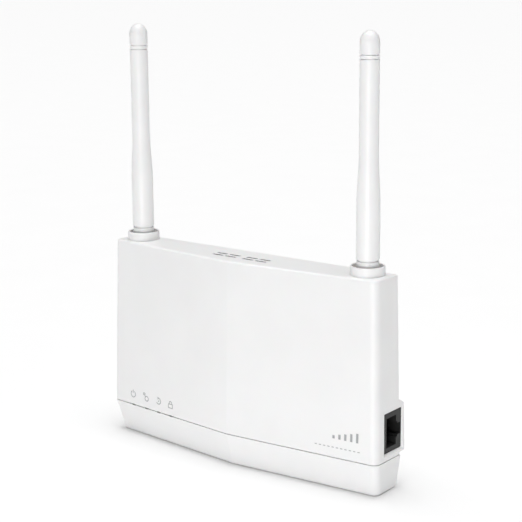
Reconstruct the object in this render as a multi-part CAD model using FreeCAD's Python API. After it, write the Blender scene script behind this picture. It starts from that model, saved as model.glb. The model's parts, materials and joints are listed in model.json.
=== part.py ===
import FreeCAD, Part
import math
import os

# A wall-plug or free-standing wifi range extender with two jointed stick antennas.
# Millimetres. X runs to the right seen from the front, Y to the back, Z up.
# The origin is under the middle of the object, on the surface that it stands on.
# "Depth" is a distance forwards from the flat of the back.

V = FreeCAD.Vector
os.makedirs("parts", exist_ok=True)

# Casing: three sections, at the foot, at the seam and at the top
seam_height = 14.12
seam_gap = 0.44
top_height = 86.0
half_width = {"foot": 67.2, "seam": 69.1, "top": 67.1}
side_depth = {"foot": 13.5, "seam": 17.1, "top": 15.4}
crease_slope = 0.0865  # each front facet runs this far forwards per mm towards the middle
corner_radius = 3.25
crease_radius = 1.5
edge_radius = 1.0
foot_radius = 1.4
wall = 1.8
seam_low = seam_height - seam_gap / 2
seam_high = seam_height + seam_gap / 2
groove_depth = 0.9
tongue_clearance = 0.1
tongue_wall = 1.0
tongue_height = 2.2

# Raised block across the back, which makes room for the socket
block_depth = 3.4
block_bottom = 15.2
block_top = 34.3
block_slope_height = 2.0
block_wall = 1.6
rear = (side_depth["seam"] + crease_slope * half_width["seam"] - block_depth) / 2

# Rear cover
cover_half_width = 63.5
cover_top = 81.0
cover_gap = 0.15
pad_height = 1.2

# Antennas
antenna_x = 57.8
antenna_depth = 7.2
collar_radius = 6.75
collar_bore = 5.95
collar_rim = top_height + 3.6
collar_seat = top_height - 0.8
collar_floor = top_height + 0.4
sleeve_radius = 5.3
shaft_bore = 4.7
shaft_clearance = 0.08
tilt_height = 84.0
foot_bottom = 88.6
groove_low = 91.36
groove_high = 91.8
taper_start = 111.6
taper_end = 132.1
base_radius = 4.55
stick_radius = 3.74
cap_radius = 3.78
skirt_radii = (4.05, 4.4, 4.28)
groove_radius = 3.75
neck_radius = 2.2
eye_radius = 2.9
cap_joint = 167.1
cap_joint_gap = 0.2
cap_groove = 168.65
cap_groove_half = 0.2
cap_groove_depth = 0.6
cap_plug_low = 161.0
antenna_top = 177.6
dome_height = 4.5
stick_bore = 2.9
shank_top = 97.4  # the foot's plug ends here, inside the stick
pin_radius = 0.9
cup_bore = 3.9
clip_bore = 4.3
clip_low = 79.75
clip_high = 80.35
cup_low = 79.2
element_low = 104.0
element_high = 163.5
coax_top = 108.5
coax_radius = 0.65
coax_break = 80.9  # the coax bends here, just under the tilting eye

# LAN socket, in the right side wall
socket_bottom = 16.95
socket_height = 15.9
socket_depth_front = 10.75
socket_depth_rear = -1.1
socket_length = 20.5
socket_face_recess = 0.4
socket_gap = 0.22

# Folding mains plug, in a pocket in the rear cover
plug_height = 44.0
plug_depth = 5.0
carrier_radius = 4.2
carrier_half_length = 11.4
pocket = {"half_width": 12.0, "bottom": 39.4, "top": 68.4, "depth": 9.6, "wall": 1.2, "side_wall": 1.6}
blade = {"spacing": 12.7, "thickness": 1.5, "width": 6.3, "reach": 17.5, "hole": 1.5, "hole_from_tip": 5.8}
pivot_radius = 1.5
running_clearance = 0.05

# Circuit boards
board_front = 13.2
board_back = 11.6

# Lamps: light windows in the seam
lamp_x = (-56.3, -48.0, -40.5, -32.8)
lamp_width = 1.7
lamp_height = 0.7
guide_range = (-60.0, -29.0)

# Pairing button in the left side wall, and the reset switch behind its pinhole
button_height = 25.0
button_depth = 8.6
button_size = (4.6, 9.0)
button_proud = 0.2
button_gap = 0.15
reset_x = 52.0
reset_height = 52.0
pinhole_radius = 0.8

# Screws
case_screw_at = ((-40.0, 77.7), (40.0, 77.7), (-61.0, 44.0), (61.0, 44.0))
board_screw_at = ((50.0, 42.0), (-8.0, 31.0), (-50.0, 31.0), (-20.0, 45.0), (-20.5, 69.0))
base_screw_x = 24.0
base_screw_depth = 12.4
screw_shank = 1.25
screw_head = 2.3
screw_head_height = 1.3


def back(depth):
    return rear - depth


def between(table, z):
    if z < seam_height:
        return table["foot"] + (table["seam"] - table["foot"]) * z / seam_height
    share = (z - seam_height) / (top_height - seam_height)
    return table["seam"] + (table["top"] - table["seam"]) * share


def outline(z, inset, rear_y):
    # The five-cornered section of the casing, moved inwards by inset
    w = between(half_width, z) - inset
    d = between(side_depth, z) + inset * (crease_slope - math.hypot(1, crease_slope))
    front = rear - d
    crease = front - crease_slope * w
    plan = [(-w, rear_y), (-w, front), (0, crease), (w, front), (w, rear_y)]
    return [V(x, y, z) for x, y in plan]


def prism(z0, z1, inset, rear_y):
    loops = [outline(z, inset, rear_y) for z in (z0, z1)]
    return Part.makeLoft([Part.makePolygon(loop + loop[:1]) for loop in loops], True, True)


def ends_differ(edge, axis):
    a, b = edge.Vertexes[0].Point, edge.Vertexes[-1].Point
    return abs(a[axis] - b[axis])


def rounded(solid, radius, test):
    return solid.makeFillet(radius, [e for e in solid.Edges if test(e)])


def front_corner(edge):
    middle = edge.CenterOfMass
    return ends_differ(edge, 2) > 5 and abs(middle.x) > 30 and middle.y < back(8)


def crease_line(edge):
    return ends_differ(edge, 2) > 5 and abs(edge.CenterOfMass.x) < 1


def rear_corner(edge):
    return ends_differ(edge, 2) > 5 and edge.CenterOfMass.y > back(8)


def level_edge(z):
    return lambda e: abs(e.CenterOfMass.z - z) < 0.01 and ends_differ(e, 2) < 0.01


def box(x0, x1, y0, y1, z0, z1):
    # Each pair of limits may come in either order
    (x0, x1), (y0, y1), (z0, z1) = sorted((x0, x1)), sorted((y0, y1)), sorted((z0, z1))
    return Part.makeBox(x1 - x0, y1 - y0, z1 - z0, V(x0, y0, z0))


def slot(cx, cy, length, width, z0, z1, across=True):
    # An upright slot with round ends; it lies along X, or along Y where across is False
    r = width / 2
    run = length / 2 - r
    dx, dy = (run, 0) if across else (0, run)
    reach_x, reach_y = (run, r) if across else (r, run)
    solid = box(cx - reach_x, cx + reach_x, cy - reach_y, cy + reach_y, z0, z1)
    for s in (-1, 1):
        solid = solid.fuse(Part.makeCylinder(r, z1 - z0, V(cx + s * dx, cy + s * dy, z0)))
    return solid.removeSplitter()


def rod_x(x0, x1, y, z, r):
    return Part.makeCylinder(r, x1 - x0, V(x0, y, z), V(1, 0, 0))


def rod_y(y0, y1, x, z, r):
    return Part.makeCylinder(r, y1 - y0, V(x, y0, z), V(0, 1, 0))


def rod_z(z0, z1, x, y, r):
    return Part.makeCylinder(r, z1 - z0, V(x, y, z0))


def ring_z(z0, z1, inner, outer, x=0.0, y=0.0):
    return rod_z(z0, z1, x, y, outer).cut(rod_z(z0 - 1, z1 + 1, x, y, inner))


def turned(edges, x, y):
    # A turned solid about an upright axis; edges close a half section in XZ
    wire = Part.Wire(Part.sortEdges(edges)[0])
    solid = Part.Face(wire).revolve(V(0, 0, 0), V(0, 0, 1), 360)
    if solid.Volume < 0:
        solid.reverse()
    return solid.translated(V(x, y, 0))


def path_edges(points):
    ends = zip(points, points[1:])
    return [Part.LineSegment(V(a[0], 0, a[1]), V(b[0], 0, b[1])).toShape() for a, b in ends]


def tube(points, radius):
    # Straight runs joined by tangent arcs, as large as the runs allow
    pts = [V(*p) for p in points]
    edges = []
    at = pts[0]
    for i in range(1, len(pts) - 1):
        into, away = pts[i] - pts[i - 1], pts[i + 1] - pts[i]
        trim = 0.45 * min(into.Length, away.Length)
        u, w = V(into).normalize(), V(away).normalize()
        start, end = pts[i] - u * trim, pts[i] + w * trim
        half_turn = u.getAngle(w) / 2
        bisector = (w - u).normalize()
        centre = pts[i] + bisector * (trim / math.sin(half_turn))
        middle = centre - bisector * (trim / math.tan(half_turn))
        edges.append(Part.LineSegment(at, start).toShape())
        edges.append(Part.Arc(start, middle, end).toShape())
        at = end
    edges.append(Part.LineSegment(at, pts[-1]).toShape())
    spine = Part.Wire(edges)
    circle = Part.makeCircle(radius, pts[0], pts[1] - pts[0])
    return spine.makePipeShell([Part.Wire(circle)], True, False)


def save(name, shape):
    shape = shape.removeSplitter() if len(shape.Solids) == 1 else shape
    if not shape.isValid() or not shape.Solids:
        raise RuntimeError(name + " is not a valid solid")
    if len(shape.Solids) == 1:
        shape = shape.Solids[0]
    shape.exportStep("parts/" + name + ".step")


def group(solids):
    return Part.makeCompound(solids)


# ---------- casing ----------

def block_profile(rear_y, low, high, slope, front_y):
    points = [(front_y, low), (rear_y, low), (rear_y, high), (rear, high + slope), (front_y, high + slope)]
    loop = [V(-80, y, z) for y, z in points]
    face = Part.Face(Part.makePolygon(loop + loop[:1]))
    return face.extrude(V(160, 0, 0))


def upper_outer():
    body = prism(seam_high, top_height, 0, rear)
    body = rounded(body, corner_radius, front_corner)
    body = rounded(body, crease_radius, crease_line)
    body = rounded(body, edge_radius, rear_corner)
    body = rounded(body, edge_radius, level_edge(top_height))
    block_high = block_top + block_slope_height
    rear_y = rear + block_depth
    block = block_profile(rear_y, block_bottom, block_top, block_slope_height, back(5))
    block = block.common(prism(block_bottom, block_high, 0, rear + 2 * block_depth))
    block = rounded(block, 0.7, lambda e: abs(e.CenterOfMass.y - rear_y) < 0.01)
    return body.fuse(block).removeSplitter()


def upper_cavity():
    room = prism(seam_height, top_height - wall, wall, back(wall))
    room = rounded(room, corner_radius - wall, front_corner)
    z0, z1 = block_bottom + block_wall, block_top - block_wall
    block = block_profile(rear + block_depth - block_wall, z0, z1, block_slope_height, back(5))
    return room.fuse(block.common(prism(z0, z1 + block_slope_height, wall, rear + 2 * block_depth)))


def top_vents():
    cutters = []
    for side in (-1, 1):
        for x in (4.4, 11.0):
            for depth in (10.4, 13.4):
                cutters.append(slot(side * x, back(depth), 5.6, 1.3, top_height - 4, top_height + 1))
    return group(cutters)


def socket_window():
    # The window in the side wall, with a bevelled mouth
    y0, y1 = back(socket_depth_front) - socket_gap, back(socket_depth_rear) + socket_gap
    z0, z1 = socket_bottom - socket_gap, socket_bottom + socket_height + socket_gap
    face_x = between(half_width, socket_bottom + socket_height / 2)
    hole = box(face_x - 6, face_x + 3, y0, y1, z0, z1)
    bevel = 0.45
    mouth = []
    for x, grow in ((face_x - bevel, 0), (face_x + bevel, 2 * bevel)):
        loop = [V(x, y0 - grow, z0 - grow), V(x, y1 + grow, z0 - grow),
                V(x, y1 + grow, z1 + grow), V(x, y0 - grow, z1 + grow)]
        mouth.append(Part.makePolygon(loop + loop[:1]))
    return hole.fuse(Part.makeLoft(mouth, True, True))


def stadium_x(x0, x1, grow):
    # The pairing button's outline, along X
    width, height = button_size[0] + 2 * grow, button_size[1] + 2 * grow
    r = width / 2
    run = height / 2 - r
    y = back(button_depth)
    solid = box(x0, x1, y - r, y + r, button_height - run, button_height + run)
    for s in (-1, 1):
        solid = solid.fuse(rod_x(x0, x1, y, button_height + s * run, r))
    return solid.removeSplitter()


def lamp_notches(inset_from, inset_to, height, grow):
    # Short stretches of the left facet, one under each lamp symbol
    z0, z1 = seam_height - height / 2, seam_height + height / 2
    band = front_band(z0, z1, inset_from, inset_to)
    reach = lamp_width / 2 + grow
    return [band.common(box(x - reach, x + reach, -40, 40, z0 - 1, z1 + 1)) for x in lamp_x]


def front_band(z0, z1, inset_from, inset_to):
    # A strip along the front, between two distances behind the outer face at the seam
    def strip(inset):
        loop = [V(p.x, p.y, z0) for p in outline(seam_height, inset, rear)]
        return Part.Face(Part.makePolygon(loop + loop[:1])).extrude(V(0, 0, z1 - z0))

    return strip(inset_from).cut(strip(inset_to))


def front_shell(outer, cavity):
    shell = outer.cut(cavity)
    cover_room = box(-cover_half_width, cover_half_width, back(wall), rear + 20, 0, cover_top)
    shell = shell.cut(cover_room)
    inside = outer.common(prism(seam_height, top_height, 0.5, rear))
    extras = []
    for x, z in case_screw_at:
        extras.append(rod_y(back(30), back(wall + pad_height), x, z, 2.9).common(inside))
    for x, z in board_screw_at:
        extras.append(rod_y(back(30), back(board_front), x, z, 2.0).common(inside))
    for s in (-1, 1):
        y = back(base_screw_depth)
        extras.append(rod_z(seam_high, 23.0, s * base_screw_x, y, 2.7))
        web = box(s * base_screw_x - 0.8, s * base_screw_x + 0.8, back(30), y, seam_high, 23.0)
        extras.append(web.common(inside))
    shell = shell.multiFuse(extras)
    cutters = [top_vents(), socket_window()]
    cutters.append(stadium_x(-75, -60, button_gap))
    for x, z in case_screw_at:
        cutters.append(rod_y(back(13), back(2), x, z, screw_shank))
    for x, z in board_screw_at:
        cutters.append(rod_y(back(board_front + 2.5), back(board_front - 1), x, z, screw_shank - 0.25))
    for s in (-1, 1):
        cutters.append(rod_z(seam_high - 1, 21.0, s * base_screw_x, back(base_screw_depth), screw_shank))
        x, y = s * antenna_x, back(antenna_depth)
        cutters.append(rod_z(top_height - 3, top_height + 1, x, y, sleeve_radius))
        cutters.append(rod_z(collar_seat, top_height + 1, x, y, collar_radius))
    cutters += lamp_notches(-0.5, wall + 0.5, lamp_height, 0.05)
    return shell.cut(cutters)


def rear_cover(outer, cavity):
    w = cover_half_width - cover_gap
    cover = outer.cut(cavity)
    cover = cover.common(box(-w, w, back(wall), rear + 20, 0, cover_top - cover_gap))
    p = pocket
    wide = p["half_width"] + p["side_wall"]
    floor_y = back(p["depth"])
    cup = box(-wide, wide, floor_y - p["wall"], back(1), p["bottom"] - p["wall"], p["top"] + p["wall"])
    cup = rounded(cup, 1.5, lambda e: ends_differ(e, 1) > 3)
    pads = [rod_y(back(wall + pad_height), back(wall), x, z, 4.0) for x, z in case_screw_at]
    trim = box(-w, w, back(40), rear + 20, 0, cover_top - cover_gap)
    cover = cover.multiFuse([cup] + pads).common(trim)
    room = box(-p["half_width"], p["half_width"], floor_y, rear + 1, p["bottom"], p["top"])
    room = rounded(room, 0.8, lambda e: ends_differ(e, 1) > 3)
    cutters = [room]
    cutters.append(rod_x(-wide - 1, wide + 1, back(plug_depth), plug_height, pivot_radius + running_clearance))
    for x, z in case_screw_at:
        cutters.append(rod_y(back(1.5), rear + 1, x, z, screw_head + 0.4))
        cutters.append(rod_y(back(10), rear + 1, x, z, screw_shank + 0.2))
    cutters.append(rod_y(back(4), rear + 1, reset_x, reset_height, pinhole_radius))
    cutters.append(label_plate(0.02))
    return cover.cut(cutters)


def label_plate(grow):
    thickness = 0.15
    plate = box(-58 - grow, -22 + grow, back(thickness), rear + grow, 49 - grow, 73 + grow)
    return rounded(plate, 1.2, lambda e: ends_differ(e, 1) > 0.1)


def lower_cover():
    body = prism(0, seam_low, 0, rear)
    body = rounded(body, corner_radius, front_corner)
    body = rounded(body, crease_radius, crease_line)
    body = rounded(body, foot_radius, level_edge(0))
    room = prism(wall, seam_height, wall, back(wall))
    body = body.cut(rounded(room, corner_radius - wall, front_corner))
    tongue_out = wall + tongue_clearance
    tongue_in = tongue_out + tongue_wall
    lip = ring_prism(seam_low - 1.0, seam_high, groove_depth, tongue_in)
    tongue = ring_prism(seam_low - 1.0, seam_high + tongue_height, tongue_out, tongue_in)
    posts = [rod_z(1, seam_high, s * base_screw_x, back(base_screw_depth), 3.4) for s in (-1, 1)]
    body = body.multiFuse([lip, tongue] + posts)
    x0, x1 = guide_range
    cutters = [box(x0, x1, back(40), back(8), seam_low, seam_high + 5)]
    cutters.append(box(-cover_half_width, cover_half_width, back(wall + 1.3), rear + 1, seam_high, seam_high + 5))
    for s in (-1, 1):
        x, y = s * base_screw_x, back(base_screw_depth)
        cutters.append(rod_z(-1, 10.5, x, y, screw_head + 0.4))
        cutters.append(rod_z(0, seam_high + 1, x, y, screw_shank + 0.2))
        cutters.append(box(x - 1.1, x + 1.1, back(30), y, seam_high, seam_high + 5))
    for i in range(-4, 5):
        cutters.append(slot(4.0 * i, back(6.2), 6.4, 1.6, -1, wall + 1, across=False))
    cutters.append(socket_clearance())
    cutters += lamp_notches(-0.5, wall + 0.5, lamp_height, 0.05)
    return body.cut(cutters)


def ring_prism(z0, z1, inset_out, inset_in):
    # A wall that follows the casing's section at the seam, all the way round
    def column(inset):
        loop = [V(p.x, p.y, z0) for p in outline(seam_height, inset, back(inset))]
        solid = Part.Face(Part.makePolygon(loop + loop[:1])).extrude(V(0, 0, z1 - z0))
        radius = max(corner_radius - inset, 0.5)
        return rounded(solid, radius, lambda e: ends_differ(e, 2) > 0.5 and abs(e.CenterOfMass.x) > 30
                       and e.CenterOfMass.y < back(8))

    return column(inset_out).cut(column(inset_in))


def socket_clearance():
    # The tongue stops short of the LAN socket and its board
    return box(44, 80, back(16), rear + 1, seam_high, seam_high + 5)


def light_guide():
    # One clear moulding behind the seam, with a tooth that shows under each lamp symbol
    tongue_out = wall + tongue_clearance
    x0, x1 = guide_range
    sill = front_band(seam_low, seam_high, groove_depth, tongue_out + 1.6)
    body = front_band(seam_high, seam_high + 3.4, tongue_out, tongue_out + 1.6)
    strip = sill.fuse(body).common(box(x0 + 0.1, x1 - 0.1, back(40), back(8), 0, 40))
    teeth = lamp_notches(0.04, wall + 0.3, lamp_height - 0.06, 0)
    return strip.multiFuse(teeth)


# ---------- antennas ----------

def round_mouth_ring(z0, z1, inner, outer, radius):
    # A ring with both edges of its upper rim rounded
    r = radius
    edges = path_edges([(inner, z1 - r), (inner, z0), (outer, z0), (outer, z1 - r)])
    q = r * math.sin(math.pi / 4)
    for side, wall_r in ((1, inner), (-1, outer)):
        start, end = V(wall_r, 0, z1 - r), V(wall_r + side * r, 0, z1)
        centre = V(wall_r + side * r, 0, z1 - r)
        edges.append(Part.Arc(start, centre + V(-side * q, 0, q), end).toShape())
    edges += path_edges([(inner + r, z1), (outer - r, z1)])
    return edges


def collar(x, y):
    ring = turned(round_mouth_ring(collar_floor - 0.2, collar_rim, collar_bore, collar_radius, 0.35), x, y)
    floor = ring_z(collar_seat, collar_floor, shaft_bore, collar_radius, x, y)
    sleeve = ring_z(clip_high + 0.25, collar_seat + 0.2, shaft_bore, sleeve_radius, x, y)
    return ring.fuse(floor).fuse(sleeve)


def swivel_washer(x, y):
    return ring_z(collar_floor, collar_floor + 0.3, shaft_bore + 0.05, collar_bore - 0.3, x, y)


def swivel_cup(x, y):
    disc_low = collar_floor + 0.35
    shaft = ring_z(cup_low, disc_low + 0.2, cup_bore, shaft_bore - shaft_clearance, x, y)
    disc = ring_z(disc_low, disc_low + 0.55, cup_bore, collar_bore - 0.2, x, y)
    cup = shaft.fuse(disc)
    cup = cup.cut(ring_z(clip_low - 0.05, clip_high + 0.05, clip_bore, collar_bore, x, y))
    return cup.cut(rod_y(y - 6, y + 6, x, tilt_height, pin_radius))


def swivel_clip(x, y):
    clip = ring_z(clip_low, clip_high, clip_bore, sleeve_radius - 0.15, x, y)
    return clip.cut(box(x - 2.2, x + 2.2, y - 6, y, clip_low - 1, clip_high + 1))


def tilt_pins(x, y):
    pins = []
    for s in (-1, 1):
        y0, y1 = sorted((y + s * 1.8, y + s * 4.6))
        pins.append(rod_y(y0, y1, x, tilt_height, pin_radius))
    return group(pins)


def antenna_foot(x, y):
    low_r, mid_r, top_r = skirt_radii
    skirt = path_edges([(0, foot_bottom), (low_r, foot_bottom), (mid_r, foot_bottom + 0.5), (top_r, groove_low),
                        (groove_radius, groove_low), (groove_radius, groove_high), (stick_bore, groove_high),
                        (stick_bore, shank_top), (0, shank_top), (0, foot_bottom)])
    foot = turned(skirt, x, y)
    foot = foot.fuse(rod_z(tilt_height, foot_bottom + 0.5, x, y, neck_radius))
    eye = Part.makeSphere(eye_radius, V(x, y, tilt_height))
    foot = foot.fuse(eye.common(box(x - 3, x + 3, y - 2.7, y + 2.7, tilt_height - 4, tilt_height + 4)))
    foot = foot.cut(rod_z(tilt_height - 4, shank_top + 1, x, y, coax_radius + 0.1))
    for s in (-1, 1):
        y0, y1 = sorted((y + s * 1.7, y + s * 4.0))
        foot = foot.cut(rod_y(y0, y1, x, tilt_height, pin_radius + running_clearance))
    return foot


def antenna_stick(x, y):
    lip = 0.5
    low = path_edges([(base_radius, groove_high + lip), (base_radius, taper_start), (stick_radius, taper_end),
                      (stick_radius, cap_joint - cap_joint_gap), (stick_bore, cap_joint - cap_joint_gap),
                      (stick_bore, groove_high), (base_radius - lip, groove_high)])
    q = lip * math.sin(math.pi / 4)
    centre = V(base_radius - lip, 0, groove_high + lip)
    start, end = V(base_radius - lip, 0, groove_high), V(base_radius, 0, groove_high + lip)
    low.append(Part.Arc(start, centre + V(q, 0, -q), end).toShape())
    return turned(low, x, y)


def antenna_cap(x, y):
    dome_start = antenna_top - dome_height
    end, low = cap_joint - cap_joint_gap, cap_joint + cap_joint_gap
    groove_r = stick_radius - cap_groove_depth
    points = [(0, antenna_top), (0, cap_plug_low), (stick_bore, cap_plug_low), (stick_bore, end),
              (groove_r, end), (groove_r, low), (stick_radius, low),
              (stick_radius, cap_groove - cap_groove_half), (groove_r, cap_groove - cap_groove_half),
              (groove_r, cap_groove + cap_groove_half), (stick_radius, cap_groove + cap_groove_half),
              (cap_radius, dome_start)]
    steps = [V(cap_radius * math.cos(a), 0, dome_start + dome_height * math.sin(a))
             for a in (math.pi / 2 * i / 12 for i in range(13))]
    dome = Part.BSplineCurve()
    dome.interpolate(steps, InitialTangent=V(0, 0, 1), FinalTangent=V(-1, 0, 0))
    cap = turned(path_edges(points) + [dome.toShape()], x, y)
    return cap.cut(element_strip(x, y))


def element_strip(x, y):
    return box(x - 2.3, x + 2.3, y + coax_radius, y + coax_radius + 0.8, element_low, element_high)


def antenna_coax(x, y):
    return rod_z(coax_break + 0.35, coax_top, x, y, coax_radius)


def coax_leads():
    # The two fixed leads, from their board connectors to just under the swivels
    y = back(antenna_depth)
    end_z = coax_break
    left = [(-7.45, back(10.8), 71.3), (-16.0, back(10.2), 73.8), (-34.0, back(9.0), 73.9),
            (-51.0, back(8.0), 73.6), (-antenna_x, y, 75.6), (-antenna_x, y, end_z)]
    right = [(54.0, back(10.6), 67.4), (54.0, back(10.0), 71.0), (antenna_x, y, 75.5), (antenna_x, y, end_z)]
    return tube(left, coax_radius), tube(right, coax_radius)


# ---------- LAN socket ----------

def lan_socket():
    face_x = between(half_width, socket_bottom + socket_height / 2) - socket_face_recess
    z0, z1 = socket_bottom, socket_bottom + socket_height
    middle = (z0 + z1) / 2
    body = box(face_x - socket_length, face_x, back(board_back), back(socket_depth_rear), z0, z1)
    shallow = box(face_x - 3.5, face_x + 1, back(board_back + 1), back(socket_depth_front), z0 - 1, z1 + 1)
    body = body.cut(shallow)
    mouth_x = face_x - 12.0
    steps = ((6.0, 9.2, 2.4), (3.2, 2.4, 1.5), (2.35, 1.5, -0.7))
    cutters = [box(mouth_x, face_x + 1, back(near), back(far), middle - half, middle + half)
               for half, near, far in steps]
    body = body.cut(cutters)
    return body.cut(box(mouth_x, face_x - 0.8, back(10.2), back(9.0), middle - 4.4, middle + 4.4))


def lan_contacts():
    # Eight sprung wires that slope up from the mouth into the socket
    face_x = between(half_width, socket_bottom + socket_height / 2) - socket_face_recess
    middle = socket_bottom + socket_height / 2
    wires = []
    for i in range(8):
        z = middle + (i - 3.5) * 1.016
        loop = [(face_x - 1.0, 10.15), (face_x - 1.5, 10.15), (face_x - 9.8, 7.7), (face_x - 9.8, 7.3),
                (face_x - 9.4, 7.3), (face_x - 1.0, 9.8)]
        points = [V(x, back(depth), z - 0.2) for x, depth in loop]
        wires.append(Part.Face(Part.makePolygon(points + points[:1])).extrude(V(0, 0, 0.4)))
    return group(wires)


# ---------- mains plug ----------

def plug_carrier():
    y, z = back(plug_depth), plug_height
    body = rod_x(-carrier_half_length, carrier_half_length, y, z, carrier_radius)
    body = body.cut([rod_x(s * carrier_half_length - 3.0, s * carrier_half_length + 3.0, y, z, pivot_radius)
                     for s in (-1, 1)])
    return body.cut(blade_solids())


def blade_solids():
    y, z = back(plug_depth), plug_height
    b = blade
    tip = z + plug_depth + b["reach"]
    solids = []
    for s in (-1, 1):
        x = s * b["spacing"] / 2
        plate = box(x - b["thickness"] / 2, x + b["thickness"] / 2, y - b["width"] / 2, y + b["width"] / 2,
                    z + 1.2, tip)
        plate = rounded(plate, 1.2, lambda e: ends_differ(e, 0) > 1 and e.CenterOfMass.z > tip - 1)
        solids.append(plate.cut(rod_x(x - 2, x + 2, y, tip - b["hole_from_tip"], b["hole"])))
    return solids


def plug_pivots():
    # Brass stubs that carry the plug and take the current out through the pocket's walls
    y, z = back(plug_depth), plug_height
    outer = pocket["half_width"] + pocket["side_wall"]
    solids = []
    for s in (-1, 1):
        x0, x1 = sorted((s * (carrier_half_length - 3.0), s * outer))
        solids.append(rod_x(x0, x1, y, z, pivot_radius))
    return solids


def plug_contacts():
    # Flat springs that bear on the stubs' ends from outside the pocket
    y, z = back(plug_depth), plug_height
    outer = pocket["half_width"] + pocket["side_wall"]
    solids = []
    for s in (-1, 1):
        strip = box(s * (outer + 0.1), s * (outer + 0.6), y - 2.2, y + 2.2, z - 7.0, z + 2.6)
        tab = box(s * (outer + 0.1), s * (outer + 2.2), y - 2.2, y + 2.2, z - 7.5, z - 7.0)
        solids.append(strip.fuse(tab))
    return solids


def power_leads():
    outer = pocket["half_width"] + pocket["side_wall"] + 1.7
    start_z = plug_height - 7.9
    near = [(-outer, back(6.0), start_z), (-outer, back(7.6), 33.6), (-20.5, back(9.6), 35.0),
            (-25.5, back(10.6), 41.5)]
    far = [(outer, back(6.0), start_z), (outer, back(7.0), 33.6), (2.0, back(8.4), 33.2),
           (-14.0, back(9.0), 32.4), (-25.0, back(9.6), 34.4), (-29.0, back(10.6), 41.5)]
    return [tube(near, 0.8), tube(far, 0.8)]


# ---------- boards and what they carry ----------

def board(points):
    loop = [V(x, back(board_front), z) for x, z in points]
    return Part.Face(Part.makePolygon(loop + loop[:1])).extrude(V(0, board_front - board_back, 0))


def on_board(x0, x1, z0, z1, height):
    return box(x0, x1, back(board_back), back(board_back - height), z0, z1)


def main_board():
    notch = 4.0
    b = base_screw_x
    points = [(-62, 16), (-b - notch, 16), (-b - notch, 24.5), (-b + notch, 24.5), (-b + notch, 16),
              (b - notch, 16), (b - notch, 24.5), (b + notch, 24.5), (b + notch, 16), (64, 16),
              (64, 35.5), (57, 35.5), (57, 73), (-13, 73), (-13, 36.5), (-62, 36.5)]
    return board(points).cut([rod_y(back(15), back(10), x, z, 1.1) for x, z in board_screw_at[:3]])


def power_board():
    points = [(-57.4, 40), (-15, 40), (-15, 73), (-57.4, 73)]
    return board(points).cut([rod_y(back(15), back(10), x, z, 1.1) for x, z in board_screw_at[3:]])


def rf_shield():
    can = on_board(17, 47, 48, 70, 3.0)
    can = rounded(can, 0.5, lambda e: abs(e.CenterOfMass.y - back(board_back - 3.0)) < 0.01)
    return can.cut(on_board(17.3, 46.7, 48.3, 69.7, 2.7))


def radio_chips():
    return group([on_board(20, 29, 52, 61, 1.2), on_board(33, 40, 54, 61, 1.2), on_board(32, 42, 63, 68, 1.0)])


def heat_spreader():
    # A finned plate on a soft pad, 3 mm behind the board
    foot, face, tips = (board_back - reach for reach in (3.0, 4.5, 7.2))
    plate = box(15, 48.2, back(foot), back(face), 46, 72)
    fins = [box(16 + 4.0 * i, 17.2 + 4.0 * i, back(face + 0.3), back(tips), 47, 71) for i in range(8)]
    return plate.multiFuse(fins)


def lan_magnetics():
    return on_board(31, 44, 19, 33, 5.0)


def coax_connectors():
    return group([on_board(-7.3, -4.7, 70.0, 72.6, 1.2), on_board(52.7, 55.3, 64.7, 67.3, 1.2)])


def lamp_chips():
    return group([box(x - 0.8, x + 0.8, back(board_front + 0.8), back(board_front), 16.3, 17.3) for x in lamp_x])


def transformer_core():
    core = on_board(-38, -24, 50, 63, 8.4)
    windows = [on_board(x0, x1, 52.5, 60.5, 8.4) for x0, x1 in ((-35.5, -32.5), (-29.5, -26.5))]
    return core.cut(windows)


def transformer_winding():
    coil = on_board(-35.5, -26.5, 52.5, 60.5, 8.0)
    return coil.cut(on_board(-32.5, -29.5, 48, 65, 9))


def power_capacitors():
    y = back(board_back - 4.1)
    return group([rod_x(-56, -41.5, y, 67.6, 4.0), rod_x(-56, -41.5, y, 58.8, 4.0), rod_x(-38, -26, y, 68.0, 3.2)])


def mains_filter():
    return group([on_board(-56, -45, 42, 52, 6.5), rod_x(-41, -31, back(board_back - 2.2), 44.5, 1.9)])


def board_link():
    return on_board(-42, -34.5, 34.4, 42.0, 2.6)


# ---------- buttons ----------

def pair_button():
    wall_x = -between(half_width, button_height)
    cap = stadium_x(wall_x - button_proud, wall_x + wall + 0.3, 0)
    cap = rounded(cap, 0.25, lambda e: abs(e.CenterOfMass.x - (wall_x - button_proud)) < 0.01)
    flange = stadium_x(wall_x + wall + 0.25, wall_x + wall + 1.1, 0.8)
    stem = rod_x(wall_x + wall + 1.0, -62.2, back(button_depth), button_height, 1.5)
    return cap.fuse(flange).fuse(stem)


def pair_plunger():
    return rod_x(-62.2, -60.2, back(button_depth), button_height, 1.7)


def pair_switch():
    case = on_board(-61.6, -58.1, button_height - 3, button_height + 3, 6.0)
    return case.cut(rod_x(-62, -59.4, back(button_depth), button_height, 1.75))


def reset_switch():
    case = on_board(reset_x - 3, reset_x + 3, reset_height - 3, reset_height + 3, 3.5)
    return case.cut(rod_y(back(board_back - 1.0), back(board_back - 4.0), reset_x, reset_height, 1.25))


def reset_plunger():
    return rod_y(back(board_back - 1.7), back(4.2), reset_x, reset_height, 1.2)


# ---------- screws ----------

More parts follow.
